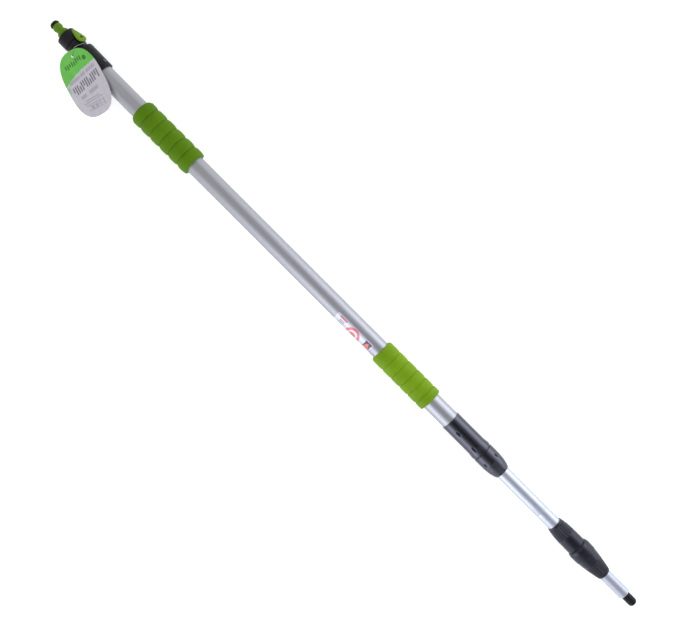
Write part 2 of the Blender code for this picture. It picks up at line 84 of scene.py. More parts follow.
# ================================================================ node tools
class Graph:
    """Short hand for building one material's nodes."""

    def __init__(self, name):
        self.material = bpy.data.materials.new(name)
        self.material.use_nodes = True
        self.tree = self.material.node_tree
        self.shader = self.tree.nodes["Principled BSDF"]

    def node(self, kind, **settings):
        made = self.tree.nodes.new(kind)
        for key, value in settings.items():
            if key.startswith("in_"):
                name = key[3:]
                socket = made.inputs[int(name)] if name.isdigit() else made.inputs[name.replace("_", " ")]
                socket.default_value = value
            else:
                setattr(made, key, value)
        return made

    def link(self, a, b):
        self.tree.links.new(a, b)

    def coords(self, scale=(1.0, 1.0, 1.0), kind="Object"):
        tc = self.node("ShaderNodeTexCoord")
        mapping = self.node("ShaderNodeMapping")
        mapping.inputs["Scale"].default_value = scale
        self.link(tc.outputs[kind], mapping.inputs["Vector"])
        return mapping.outputs["Vector"]

    def noise(self, vector, scale, detail=3.0, rough=0.55, distortion=0.0):
        n = self.node("ShaderNodeTexNoise")
        n.inputs["Scale"].default_value = scale
        n.inputs["Detail"].default_value = detail
        n.inputs["Roughness"].default_value = rough
        n.inputs["Distortion"].default_value = distortion
        self.link(vector, n.inputs["Vector"])
        return n.outputs["Fac"]

    def ramp(self, value, stops, smooth=False):
        r = self.node("ShaderNodeValToRGB")
        r.color_ramp.interpolation = "EASE" if smooth else "LINEAR"
        while len(r.color_ramp.elements) < len(stops):
            r.color_ramp.elements.new(0.5)
        for element, (at, colour) in zip(r.color_ramp.elements, stops):
            element.position = at
            if isinstance(colour, (int, float)):
                colour = (colour, colour, colour)
            element.color = (*colour, 1.0)
        self.link(value, r.inputs["Fac"])
        return r.outputs["Color"]

    def math(self, operation, a, b=None, c=None, clamp=False):
        m = self.node("ShaderNodeMath", operation=operation)
        m.use_clamp = clamp
        for socket, value in zip(m.inputs, (a, b, c)):
            if value is None:
                continue
            if isinstance(value, (int, float)):
                socket.default_value = value
            else:
                self.link(value, socket)
        return m.outputs[0]

    def mix(self, factor, a, b, mode="MIX"):
        m = self.node("ShaderNodeMix", data_type="RGBA", blend_type=mode)
        for socket, value in ((m.inputs[0], factor), (m.inputs[6], a), (m.inputs[7], b)):
            if isinstance(value, (int, float)):
                socket.default_value = value
            elif isinstance(value, tuple):
                socket.default_value = (*value, 1.0)
            else:
                self.link(value, socket)
        return m.outputs[2]

    def bump(self, height, strength, distance, before=None):
        b = self.node("ShaderNodeBump")
        b.inputs["Strength"].default_value = strength
        b.inputs["Distance"].default_value = distance
        self.link(height, b.inputs["Height"])
        if before is not None:
            self.link(before, b.inputs["Normal"])
        return b.outputs["Normal"]

    def put(self, **sockets):
        for key, value in sockets.items():
            socket = self.shader.inputs[key.replace("_", " ")]
            if isinstance(value, (int, float)):
                socket.default_value = value
            elif isinstance(value, tuple):
                socket.default_value = (*value, 1.0) if len(value) == 3 and socket.type == "RGBA" else value
            else:
                self.link(value, socket)
        return self.material


def plastic(name, colour, rough, grain=0.35, wear=0.25, vary=0.12, specular=0.5, coat=0.0,
            sheen=0.0, scale=1.0, tint=(1.0, 1.0, 1.0)):
    """Moulded plastic: soft colour drift, fine grain, lighter worn edges."""
    g = Graph(name)
    v = g.coords()
    drift = g.noise(v, 45.0 * scale, 4.0)
    dark = tuple(c * (1.0 - vary) for c in colour)
    pale = tuple(min(1.0, c * (1.0 + vary)) for c in colour)
    base = g.ramp(drift, [(0.3, dark), (0.7, pale)])
    geo = g.node("ShaderNodeNewGeometry")
    edge = g.ramp(geo.outputs["Pointiness"], [(0.53, 0.0), (0.60, 1.0)])
    patchy = g.ramp(g.noise(v, 260.0 * scale, 3.0), [(0.45, 0.0), (0.62, 1.0)])
    worn = g.math("MULTIPLY", g.math("MULTIPLY", edge, patchy), wear)
    lift = tuple(min(1.0, c * 1.3 + 0.012) for c in colour)
    base = g.mix(worn, base, lift)
    fine = g.noise(v, 1500.0 * scale, 2.0, 0.6)
    scratch = g.noise(g.coords((0.25, 1.0, 1.0)), 700.0 * scale, 3.0, 0.7)
    roughness = g.ramp(g.math("ADD", g.math("MULTIPLY", fine, 0.5), g.math("MULTIPLY", scratch, 0.5)),
                       [(0.3, max(0.04, rough - 0.07)), (0.7, min(1.0, rough + 0.07))])
    normal = g.bump(fine, grain, 0.00006)
    return g.put(Base_Color=base, Roughness=roughness, Normal=normal, Specular_IOR_Level=specular, Specular_Tint=tint,
                 Coat_Weight=coat, Coat_Roughness=0.18, Sheen_Weight=sheen, Sheen_Roughness=0.4)


def metal(name, colour, rough, streak=0.10, brushed=0.25, aniso=0.0, spots=0.0):
    """Drawn aluminium: fine lines along the tube, light stains and handling marks."""
    g = Graph(name)
    lines = g.noise(g.coords((1.5, 160.0, 160.0)), 6.0, 5.0, 0.7)
    cloud = g.noise(g.coords((0.6, 1.0, 1.0)), 14.0, 3.0)
    base = g.ramp(lines, [(0.25, tuple(c * (1.0 - streak) for c in colour)),
                          (0.75, tuple(min(1.0, c * (1.0 + streak * 0.6)) for c in colour))])
    base = g.mix(g.math("MULTIPLY", g.ramp(cloud, [(0.35, 0.0), (0.75, 1.0)]), 0.22), base,
                 tuple(c * 0.86 for c in colour))
    marks = g.ramp(g.noise(g.coords((0.35, 1.0, 1.0)), 420.0, 2.0, 0.8), [(0.62, 0.0), (0.72, 1.0)])
    roughness = g.math("ADD", g.ramp(lines, [(0.2, rough - 0.05), (0.8, rough + 0.05)]),
                       g.math("MULTIPLY", marks, 0.08 + spots))
    normal = g.bump(lines, brushed, 0.00003)
    return g.put(Base_Color=base, Metallic=1.0, Roughness=roughness, Normal=normal, Anisotropic=aniso)


M = {}
M["black_plastic"] = plastic("black_plastic", (0.0040, 0.0040, 0.0052), 0.42, grain=0.4, specular=0.22)
# the lock plastics' bluish colour and specular tint are partly painted light: they stand for the bluish light at the
# brush end
M["lock_plastic"] = plastic("lock_plastic", (0.0025, 0.0027, 0.0045), 0.20, grain=0.08, specular=0.85, tint=(0.85, 0.87, 1.0))
M["lock2_plastic"] = plastic("lock2_plastic", (0.0030, 0.0033, 0.0055), 0.30, grain=0.12, specular=0.42, tint=(0.85, 0.87, 1.0))
M["green_plastic"] = plastic("green_plastic", (0.095, 0.212, 0.004), 0.40, grain=0.3, vary=0.10, specular=0.13)
M["lever_plastic"] = plastic("lever_plastic", (0.122, 0.248, 0.005), 0.40, grain=0.3, vary=0.10, specular=0.16)
# painted shade: this dull, low-sheen material on the dimples' floors makes them look dark
M["lock_matt"] = plastic("lock_matt", (0.0150, 0.0150, 0.0200), 0.70, grain=0.4, specular=0.12, tint=(0.85, 0.87, 1.0))
M["black_rubber"] = plastic("black_rubber", (0.005, 0.005, 0.005), 0.55, grain=0.5, specular=0.2)
M["white_acetal"] = plastic("white_acetal", (0.72, 0.71, 0.66), 0.35, grain=0.2, vary=0.05, wear=0.1)
M["anodised_aluminium"] = metal("anodised_aluminium", (0.372, 0.373, 0.390), 0.47)
# the blue in the middle and inner tubes' colours is partly painted light: it stands for the bluish light towards the
# brush end
M["polished_aluminium"] = metal("polished_aluminium", (0.485, 0.505, 0.565), 0.46, streak=0.06, brushed=0.15)
M["satin_aluminium"] = metal("satin_aluminium", (0.450, 0.462, 0.510), 0.50, streak=0.08)
M["chromed_ball"] = metal("chromed_ball", (0.78, 0.78, 0.80), 0.10, streak=0.03, brushed=0.05)
M["steel"] = metal("steel", (0.22, 0.22, 0.23), 0.38, streak=0.2, brushed=0.4, spots=0.1)


def grip_material(name, colour):
    """Soft green grip moulding: pebbled skin, painted shade in the grooves, dull crowns."""
    g = Graph(name)
    v = g.coords()
    cells = g.node("ShaderNodeTexVoronoi", feature="SMOOTH_F1")
    cells.inputs["Scale"].default_value = 900.0
    g.link(v, cells.inputs["Vector"])
    pebble = cells.outputs["Distance"]
    drift = g.noise(v, 30.0, 4.0)
    base = g.ramp(drift, [(0.3, tuple(c * 0.88 for c in colour)), (0.72, tuple(c * 1.10 for c in colour))])
    geo = g.node("ShaderNodeNewGeometry")
    # painted shade: the grooves' colour is darkened where shade falls
    painted_groove_shade = g.ramp(geo.outputs["Pointiness"], [(0.40, 1.0), (0.495, 0.0)])
    base = g.mix(g.math("MULTIPLY", painted_groove_shade, 0.45), base, tuple(c * 0.55 for c in colour))
    fine = g.noise(v, 1800.0, 2.0)
    roughness = g.ramp(drift, [(0.3, 0.50), (0.7, 0.62)])
    normal = g.bump(pebble, 0.22, 0.00012)
    normal = g.bump(fine, 0.2, 0.00004, normal)
    return g.put(Base_Color=base, Roughness=roughness, Normal=normal, Specular_IOR_Level=0.08,
                 Sheen_Weight=0.01, Sheen_Roughness=0.35)


M["green_grip"] = grip_material("green_grip", (0.086, 0.190, 0.0025))
# painted light: the lower grip is a lighter copy of the grip green, standing for the brighter light towards the brush
# end
M["green_grip_low"] = grip_material("green_grip_low", (0.158, 0.285, 0.006))


# ============================================================= mesh helpers
def rounded(profile, steps=4):
    """Round the corners of a closed profile given as (x, r[, fillet radius])."""
    out = []
    count = len(profile)
    for i, item in enumerate(profile):
        p = Vector(item[:2])
        radius = item[2] if len(item) > 2 else 0.0
        if radius <= 0.0:
            out.append((p.x, p.y))
            continue
        a = Vector(profile[i - 1][:2]) - p
        b = Vector(profile[(i + 1) % count][:2]) - p
        half = a.angle(b) / 2.0
        if half > 1.55:
            out.append((p.x, p.y))
            continue
        reach = min(radius / math.tan(half), a.length * 0.49, b.length * 0.49)
        p0, p1 = p + a.normalized() * reach, p + b.normalized() * reach
        for k in range(steps + 1):
            t = k / steps
            q = p0 * (1 - t) ** 2 + p * 2 * t * (1 - t) + p1 * t ** 2
            out.append((q.x, q.y))
    return out


def dense(profile, pitch):
    """Split the long edges of a closed profile."""
    out = []
    for i, p in enumerate(profile):
        q = profile[(i + 1) % len(profile)]
        n = max(1, int(math.ceil(math.dist(p[:2], q[:2]) / pitch)))
        for k in range(n):
            t = k / n
            out.append((p[0] + (q[0] - p[0]) * t, p[1] + (q[1] - p[1]) * t))
    return out


def make_object(name, verts, faces, material, body, sharp=38.0, replaces=(), slot=None):
    mesh = bpy.data.meshes.new(name)
    mesh.from_pydata([tuple(v) for v in verts], [], faces)
    bm = bmesh.new()
    bm.from_mesh(mesh)
    bmesh.ops.remove_doubles(bm, verts=bm.verts, dist=2e-7)
    bmesh.ops.recalc_face_normals(bm, faces=bm.faces)
    closed = all(len(e.link_faces) == 2 for e in bm.edges)
    if closed and bm.calc_volume(signed=True) < 0.0:
        bmesh.ops.reverse_faces(bm, faces=bm.faces)
    bm.to_mesh(mesh)
    bm.free()
    mesh.shade_smooth()
    mesh.set_sharp_from_angle(angle=math.radians(sharp))
    mesh.materials.append(material)
    made = bpy.data.objects.new(name, mesh)
    scene.collection.objects.link(made)
    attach(made, body)
    if replaces:
        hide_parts(*replaces)
    return made


def ring_point(x, r, turn):
    """A point from its place along the pole, its radius and its angle from +Z towards +Y."""
    return Vector((x * MM, r * math.sin(turn) * MM, (AXIS_Z + r * math.cos(turn)) * MM))


def turned(name, profile, material, body, segments=96, shape=None, sharp=38.0, replaces=(), slot=None):
    """Turn a closed profile about the pole's axis. shape(x, r, turn) may move a radius."""
    verts, faces = [], []
    count = len(profile)
    for s in range(segments):
        turn = TAU * s / segments
        for x, r in profile:
            radius = shape(x, r, turn) if shape else r
            verts.append(ring_point(x, radius, turn))
    for s in range(segments):
        n = (s + 1) % segments
        for k in range(count):
            m = (k + 1) % count
            faces.append((s * count + k, s * count + m, n * count + m, n * count + k))
    return make_object(name, verts, faces, material, body, sharp, replaces, slot)


def local_frame(x, turn_deg):
    """Origin and axes of a radial direction: (origin, along the pole, across, outward)."""
    t = math.radians(turn_deg)
    return (Vector((x, 0.0, AXIS_Z)), Vector((1, 0, 0)), Vector((0, math.cos(t), -math.sin(t))),
            Vector((0, math.sin(t), math.cos(t))))


def radial_turned(name, profile, place, material, body, segments=40, shape=None, **more):
    """Turn an open (height, radius) profile, whose ends may touch the axis, about a radial line."""
    origin, ex, ey, ez = place
    verts, faces = [], []
    count = len(profile)
    for s in range(segments):
        a = TAU * s / segments
        for h, r in profile:
            radius, height = (shape(h, r, a) if shape else (r, h))
            verts.append((origin + ex * radius * math.cos(a) + ey * radius * math.sin(a) + ez * height) * MM)
    for s in range(segments):
        n = (s + 1) % segments
        for k in range(count - 1):
            faces.append((s * count + k, s * count + k + 1, n * count + k + 1, n * count + k))
    first_open, last_open = profile[0][1] > 0, profile[-1][1] > 0
    if first_open and last_open:
        for s in range(segments):
            n = (s + 1) % segments
            faces.append((s * count + count - 1, s * count, n * count, n * count + count - 1))
    return make_object(name, verts, faces, material, body, **more)


def bell(d, width):
    """1 at the middle, 0 beyond the width, smooth between."""
    d = abs(d) / width
    return 0.0 if d >= 1.0 else (1.0 - d * d) ** 2


def wrap(angle):
    return (angle + math.pi) % TAU - math.pi


# ================================================================= hose end
turned("nipple_body", rounded([
    (-627.7, 4.0, 0.3), (-627.7, 6.1, 0.8), (-626.5, 6.9, 0.25), (-626.5, 5.5), (-621.7, 5.5), (-621.7, 7.15, 0.3),
    (-620.2, 7.1, 0.8), (-618.8, 7.8, 0.9), (-616.1, 7.8, 0.9), (-613.6, 6.6, 1.2),
    (-611.2, 6.6, 1.4), (-607.3, 9.4, 1.2), (-600.9, 9.45), (-595.9, 9.45), (-595.9, 12.6), (-593.4, 12.6),
    (-593.4, 4.0)]), M["green_plastic"], "main_section", 72, replaces=("hose_nipple",), slot="green_plastic")
turned("nipple_seal_ring", [(-624.1 + 2.3 * math.cos(a), 6.05 + 1.75 * math.sin(a))
                            for a in [TAU * k / 24 for k in range(24)]],
       M["black_rubber"], "main_section", 72, replaces=("nipple_o_ring",), slot="black_rubber")


def nut_shape(x, r, turn):
    if r > 14.0 and -599.6 < x < -583.4:
        return r - 0.16 * (0.5 - 0.5 * math.cos(turn * 30)) ** 3
    return r


turned("union_nut_body", dense(rounded([
    (-600.8, 9.6, 0.2), (-600.8, 15.75, 1.5), (-582.4, 15.75, 1.1), (-582.4, 13.5), (-596.2, 13.5), (-596.2, 9.6)]), 2.2),
    M["black_plastic"], "main_section", 240, shape=nut_shape, replaces=("union_nut",), slot="black_plastic")

turned("valve_body_shell", rounded([
    (-591.1, 8.3), (-591.1, 13.1), (-582.35, 13.1), (-582.35, 13.9, 0.2), (-581.6, 14.9, 0.6), (-575.2, 14.9, 0.3),
    (-574.7, 14.55, 0.2), (-573.9, 14.55, 0.2), (-573.4, 14.9, 0.3), (-570.7, 14.7, 1.3), (-570.5, 10.3, 0.5), (-564.3, 10.25),
    (-564.3, 9.0), (-553.6, 9.0), (-553.6, 4.5), (-570.3, 4.5), (-570.3, 8.3)]),
    M["black_plastic"], "main_section", 96, replaces=("valve_body",), slot="black_plastic")
STEM = local_frame(-578.3, 54.0)
radial_turned("valve_boss", [(13.0, 2.6), (13.0, 4.4), (14.6, 4.4), (15.3, 3.9), (15.85, 3.6), (15.85, 2.6)],
              STEM, M["black_plastic"], "main_section", 40, sharp=45)

LEVER_FRONT, LEVER_BACK, LEVER_HALF, LEVER_TAPER = 7.6, 18.4, 9.2, 4.4


def lever_edge(angle):
    """Outline of the lever about its pivot: blunt ended and narrower at the back."""
    c, s = math.cos(angle), math.sin(angle)
    x = math.copysign(abs(c) ** 0.8, c) * (LEVER_FRONT if c > 0.0 else LEVER_BACK)
    half = LEVER_HALF - LEVER_TAPER * max(0.0, -x) / LEVER_BACK
    return x, math.copysign(abs(s) ** 0.8, s) * half


dome = [(16.2, 0.3), (16.2, 0.965), (16.35, 0.99), (16.75, 1.0), (17.3, 0.995), (17.75, 0.975), (18.15, 0.935),
        (18.5, 0.88), (18.8, 0.80), (19.1, 0.70), (19.35, 0.58), (19.5, 0.47), (19.55, 0.40), (19.45, 0.33), (19.2, 0.3)]
origin, ex, ey, ez = STEM
verts, faces = [], []
for k in range(112):
    angle = TAU * k / 112
    edge_x, edge_y = lever_edge(angle)
    hub_x, hub_y = 2.3 * math.cos(angle), 2.3 * math.sin(angle)
    for height, share in dome:
        mix = max(0.0, (share - 0.3) / 0.7)
        sink = 0.5 * max(0.0, -edge_x * mix) / LEVER_BACK
        px, py = hub_x + (edge_x - hub_x) * mix, hub_y + (edge_y - hub_y) * mix
        verts.append((origin + ex * px + ey * py + ez * (height - (sink if height > 16.6 else 0.0))) * MM)
for k in range(112):
    n = (k + 1) % 112
    for j in range(len(dome)):
        m = (j + 1) % len(dome)
        faces.append((k * len(dome) + j, k * len(dome) + m, n * len(dome) + m, n * len(dome) + j))
make_object("lever_body", verts, faces, M["lever_plastic"], "valve_lever", 50, ("valve_lever",), "green_plastic")


def cross_screw(name, place, head, depth, low, material, body, node):
    """A domed screw head with a cross recess sunk in it."""
    profile = [(low, 0.0), (low, head * 0.97), (low + 0.1, head)]
    for k in range(1, 13):
        share = 1.0 - k / 12.0
        profile.append((low + 0.15 + depth * math.sqrt(max(0.0, 1.0 - share * share)) * 0.6 + 0.1, head * share))

    def cross(h, r, a):
        if h > low + 0.12 and r < head * 0.72:
            arm = min(abs(math.sin(a)), abs(math.cos(a))) * r
            if arm < head * 0.14:
                return r, h - depth * 0.55 * (1.0 - (r / (head * 0.72)) ** 4)
        return r, h
    return radial_turned(name, profile, place, material, body, 64, shape=cross, replaces=(node,), sharp=30)


# the screw is partly blackened steel and partly painted shade: its near-black greenish colour stands for the shade in
# the lever's recess
M["dark_screw"] = metal("dark_screw", (0.020, 0.024, 0.012), 0.5, streak=0.2, brushed=0.4)
cross_screw("lever_screw_head", STEM, 2.15, 0.7, 17.5, M["dark_screw"], "valve_lever", "lever_screw")

# ============================================================ end coupling
turned("coupling_body", rounded([
    (-564.0, 9.3), (-564.0, 18.6, 3.0), (-561.0, 18.75, 1.0), (-519.0, 18.05, 0.8), (-518.0, 17.0, 0.4), (-518.0, 15.06),
    (-551.3, 15.35), (-551.3, 9.3)], 6),
    M["black_plastic"], "main_section", 112, replaces=("end_coupling",), slot="black_plastic")
RIVET = local_frame(-527.9, 58.0)
radial_turned("rivet_seat", [(17.4, 3.0), (17.4, 3.8), (18.25, 3.8), (18.45, 3.6), (18.45, 3.2), (18.2, 3.0)],
              RIVET, M["black_plastic"], "main_section", 40, sharp=45)
M["rivet"] = metal("rivet_metal", (0.16, 0.16, 0.17), 0.45, streak=0.15, brushed=0.3)
cross_screw("rivet_head", RIVET, 2.9, 0.8, 18.0, M["rivet"], "main_section", "coupling_rivet")


# ================================================================== tubes
def tube(name, x0, x1, r, bore, material, body, node, slot, rings=()):
    profile = [(x0, bore), (x0, r - 0.15), (x0 + 0.15, r)]
    n = max(8, int((x1 - x0) / 24))
    stations = sorted([x0 + (x1 - x0) * k / n for k in range(1, n)])
    for at, depth, width in rings:
        stations = [s for s in stations if abs(s - at) > width * 2]
        stations += [at - width, at - width * 0.5, at, at + width * 0.5, at + width]
    for s in sorted(stations):
        drop = sum(depth * bell(s - at, width) for at, depth, width in rings)
        profile.append((s, r - drop))
    profile += [(x1 - 0.15, r), (x1, r - 0.15), (x1, bore)]
    return turned(name, profile, material, body, 128, replaces=(node,), slot=slot)


tube("outer_tube_skin", -548.6, 285.0, 15.0, 14.0, M["anodised_aluminium"], "main_section", "outer_tube",
     "anodised_aluminium")
tube("middle_tube_skin", -544.0, 483.0, 11.0, 10.0, M["polished_aluminium"], "middle_section", "middle_tube",
     "polished_aluminium", rings=((428.0, 0.22, 0.9),))
tube("inner_tube_skin", -533.6, 606.8, 9.5, 8.5, M["satin_aluminium"], "inner_section", "inner_tube",
     "satin_aluminium")


# ================================================================== grips
def grip_upper():
    low, high, top = -438.0, -322.0, 20.8
    grooves = [-419.5, -399.5, -379.4, -360.3, -340.3]
    edges = [low] + grooves + [high]
    points = [(low, 15.05), (low, 16.9), (low + 0.3, 17.6), (low + 0.9, 18.3), (low + 1.9, 18.95)]
    for k in range(6):
        a, b = edges[k], edges[k + 1]
        steps = 16
        for j in range(1, steps):
            t = j / steps
            if k == 0 and t < 0.2:
                continue
            crown = (1.0 - abs(2.0 * t - 1.0) ** 3.4)
            points.append((a + (b - a) * t, top - 1.95 + 1.95 * crown))
        if k < 5:
            points.append((b - 0.35, top - 2.05))
            points.append((b, top - 2.35))
            points.append((b + 0.35, top - 2.05))
    points += [(high - 0.8, top - 0.9), (high - 0.2, top - 1.2), (high, top - 1.7), (high, 15.05)]
    return points


def grip_waver(x, r, turn):
    if r < 16.0:
        return r
    return r - 0.06 * (1.0 + noise.noise(Vector((x * 0.09, math.cos(turn) * 1.3, math.sin(turn) * 1.3))))


turned("upper_grip_skin", grip_upper(), M["green_grip"], "main_section", 128, shape=grip_waver,
       replaces=("upper_grip",), slot="green_grip", sharp=60)


def grip_lower():
    low, high, top = 80.0, 188.0, 19.8
    grooves = [102.5, 120.9, 139.8, 157.0, 174.4]
    points = [(low, 15.05), (low, 16.6), (low + 0.4, 17.6), (low + 1.2, 18.5), (low + 2.6, 19.3), (low + 4.2, 19.65)]
    x = low + 6.0
    while x < high - 3.0:
        near = min(grooves, key=lambda gx: abs(gx - x))
        drop = 1.15 * bell(x - near, 1.7) + 0.22 * bell(x - near, 7.0)
        points.append((x, top - drop))
        x += 0.55 if abs(x - near) < 2.6 else 1.6
    points += [(high - 2.2, top), (high - 1.0, top - 0.25), (high - 0.25, top - 0.9), (high, top - 1.8), (high, 15.05)]
    return points


turned("lower_grip_skin", grip_lower(), M["green_grip_low"], "main_section", 128, shape=grip_waver,
       replaces=("lower_grip",), slot="green_grip", sharp=60)

# ================================================================== lock 1
DIMPLES_SLEEVE = [(252.5, -24.5), (285.6, -23.5), (252.5, 155.5), (285.6, 156.5)]
DIMPLES_COLLAR = [(315.5, 41.0), (315.5, -41.0), (315.5, 139.0), (315.5, -139.0)]


def dimples(spots, long_half, wide_half, depth, least):
    def shape(x, r, turn):
        if r < least:
            return r
        drop = 0.0
        for at, angle in spots:
            across = wrap(turn - math.radians(angle)) * r
            d = math.hypot((x - at) / long_half, across / wide_half)
            if d < 1.0:
                drop = max(drop, depth * (1.0 - d ** 4))
        return r - drop
    return shape


def dimple_floors_painted_shade(obj, spots, long_half, wide_half):
    """The dimples' floors get a dull material with little sheen, which makes them look dark: painted shade."""
    obj.data.materials.append(M["lock_matt"])
    for face in obj.data.polygons:
        x, y, z = face.center.x / MM, face.center.y / MM, face.center.z / MM - AXIS_Z
        r, turn = math.hypot(y, z), math.atan2(y, z)
        for at, angle in spots:
            if r > 14.6 and math.hypot((x - at) / long_half, wrap(turn - math.radians(angle)) * r / wide_half) < 0.97:
                face.material_index = 1


lock1_sleeve = turned("lock1_sleeve_body", dense(rounded([
    (230.7, 15.06), (230.7, 16.55, 0.2), (232.6, 16.3, 1.5), (240.0, 16.2), (287.0, 16.3, 6.0), (294.5, 17.35, 2.0), (297.5, 17.35, 0.7), (298.2, 16.2), (299.6, 16.1),
    (299.6, 14.2), (318.0, 14.2), (318.0, 12.7), (300.0, 12.7), (300.0, 11.4), (285.4, 11.4), (285.4, 15.06)]), 1.0),
    M["lock_plastic"], "main_section", 160, shape=dimples(DIMPLES_SLEEVE, 5.0, 1.85, 0.9, 15.8),
    replaces=("lock1_sleeve",), slot="lock_plastic")
dimple_floors_painted_shade(lock1_sleeve, DIMPLES_SLEEVE, 5.0, 1.85)
lock1_collar = turned("lock1_collar_body", dense(rounded([
    (299.9, 14.6), (299.9, 16.3), (300.5, 17.3, 0.5), (320.0, 17.2, 6.0), (331.0, 16.1, 5.0), (339.0, 14.2, 3.0), (343.0, 12.4, 1.6), (343.0, 11.3, 0.3),
    (331.6, 11.3), (331.2, 12.7), (323.0, 14.4), (322.0, 14.6)], 6), 1.0),
    M["lock_plastic"], "lock1_collar", 160, shape=dimples(DIMPLES_COLLAR, 3.5, 1.6, 0.9, 15.8),
    replaces=("lock1_collar",), slot="lock_plastic")

dimple_floors_painted_shade(lock1_collar, DIMPLES_COLLAR, 3.5, 1.6)

# ================================================================== lock 2
FLUTES = 24


def flutes(spans, depth, least):
    """Round-ended grooves along the pole. spans: (start, end)."""
    def shape(x, r, turn):
        if r < least(x):
            return r
        drop = 0.0
        for start, end in spans:
            if start - 1.2 < x < end + 1.2:
                fade = min(1.0, max(0.0, (x - start + 1.2) / 2.4), max(0.0, (end + 1.2 - x) / 2.4))
                wave = 0.5 - 0.5 * math.cos(turn * FLUTES)
                drop = max(drop, depth * (wave ** 1.6) * fade)
        return r - drop
    return shape


turned("lock2_sleeve_body", dense(rounded([
    (455.3, 11.06), (455.3, 12.5, 0.35), (462.0, 13.7, 3.0), (470.0, 14.75, 4.0), (479.0, 15.35, 5.0), (500.5, 15.75, 1.0), (503.0, 15.2, 0.3),
    (503.0, 13.3), (519.0, 13.3), (519.0, 11.3), (497.0, 11.3), (497.0, 9.9), (483.4, 9.9), (483.4, 11.06)]), 1.0),
    M["lock2_plastic"], "middle_section", 240,
    shape=flutes([(457.5, 480.0)], 0.75, lambda x: 11.9 + max(0.0, min(1.0, (x - 455.3) / 20.0)) * 2.0),
    replaces=("lock2_sleeve",), slot="lock_plastic")
turned("lock2_collar_body", dense(rounded([
    (503.4, 13.7), (503.4, 15.6, 0.3), (505.0, 17.1, 2.0), (508.5, 18.15, 3.0), (512.5, 18.3, 4.0), (522.5, 18.05, 1.2), (524.6, 17.45, 0.8),
    (534.5, 16.25, 3.0), (546.0, 14.3, 6.0), (556.0, 12.5, 6.0), (561.8, 11.3, 1.6), (563.5, 10.4, 0.6), (563.5, 9.8, 0.2), (534.6, 9.8),
    (533.9, 11.2), (524.4, 13.1), (523.0, 13.7)], 5), 1.0),
    M["lock2_plastic"], "lock2_collar", 240,
    shape=flutes([(537.0, 561.0)], 0.7, lambda x: 10.6 if x > 560 else 11.3 + max(0.0, (560.0 - x)) * 0.05),
    replaces=("lock2_collar",), slot="lock_plastic")


# =============================================================== brush tip
def tip_profile():
    points = [(588.0, 3.4), (588.0, 8.15), (606.8, 8.15), (607.2, 6.5)]
    for k in range(5):
        s = 608.2 + 3.0 * k
        points += [(s + 0.1, 6.4), (s + 0.7, 7.1), (s + 1.0, 7.35), (s + 1.6, 7.35), (s + 1.95, 7.1), (s + 2.6, 6.4)]
    points += [(623.6, 7.05), (624.8, 6.9), (625.9, 6.5), (626.8, 5.9), (627.4, 5.2), (627.7, 4.6), (627.7, 3.9),
               (627.3, 3.4)]
    return points


turned("tip_body", tip_profile(), M["black_plastic"], "inner_section", 72, replaces=("tip_connector",),
       slot="black_plastic", sharp=50)

# ===================================================================== print
class Print:
    """Printed shapes from one pair of coordinates, in mm, on a flat or wrapped film."""

    def __init__(self, name, size, origin):
        self.g = Graph(name)
        uv = self.g.node("ShaderNodeTexCoord")
        split = self.g.node("ShaderNodeSeparateXYZ")
        self.g.link(uv.outputs["UV"], split.inputs[0])
        self.u = self.g.math("MULTIPLY_ADD", split.outputs["X"], size[0], origin[0])
        self.v = self.g.math("MULTIPLY_ADD", split.outputs["Y"], size[1], origin[1])

    def leaning(self, slope):
        return self.g.math("MULTIPLY_ADD", self.v, -slope, self.u)

    def soft(self, distance, blur=0.16):
        return self.g.math("MULTIPLY_ADD", distance, -0.5 / blur, 0.5, clamp=True)

    def bar(self, along, low_u, high_u, low_v, high_v):
        a = self.g.math("SUBTRACT", self.g.math("ABSOLUTE", self.g.math("SUBTRACT", along, (low_u + high_u) / 2)),
                        (high_u - low_u) / 2)
        b = self.g.math("SUBTRACT", self.g.math("ABSOLUTE", self.g.math("SUBTRACT", self.v, (low_v + high_v) / 2)),
                        (high_v - low_v) / 2)
        return self.soft(self.g.math("MAXIMUM", a, b))

    def disc(self, at_u, at_v, radius):
        du = self.g.math("SUBTRACT", self.u, at_u)
        dv = self.g.math("SUBTRACT", self.v, at_v)
        d = self.g.math("SQRT", self.g.math("ADD", self.g.math("MULTIPLY", du, du), self.g.math("MULTIPLY", dv, dv)))
        return self.soft(self.g.math("SUBTRACT", d, radius)), d

    def ring(self, at_u, at_v, radius, width):
        _, d = self.disc(at_u, at_v, radius)
        return self.soft(self.g.math("SUBTRACT", self.g.math("ABSOLUTE", self.g.math("SUBTRACT", d, radius)), width / 2))

    def dashes(self, pitch, share):
        wave = self.g.math("ABSOLUTE", self.g.math("SUBTRACT", self.g.math("FRACT", self.g.math(
            "DIVIDE", self.v, pitch)), 0.5))
        return self.soft(self.g.math("SUBTRACT", wave, share / 2), 0.08)

    def any(self, masks):
        out = masks[0]
        for m in masks[1:]:
            out = self.g.math("MAXIMUM", out, m)
        return out


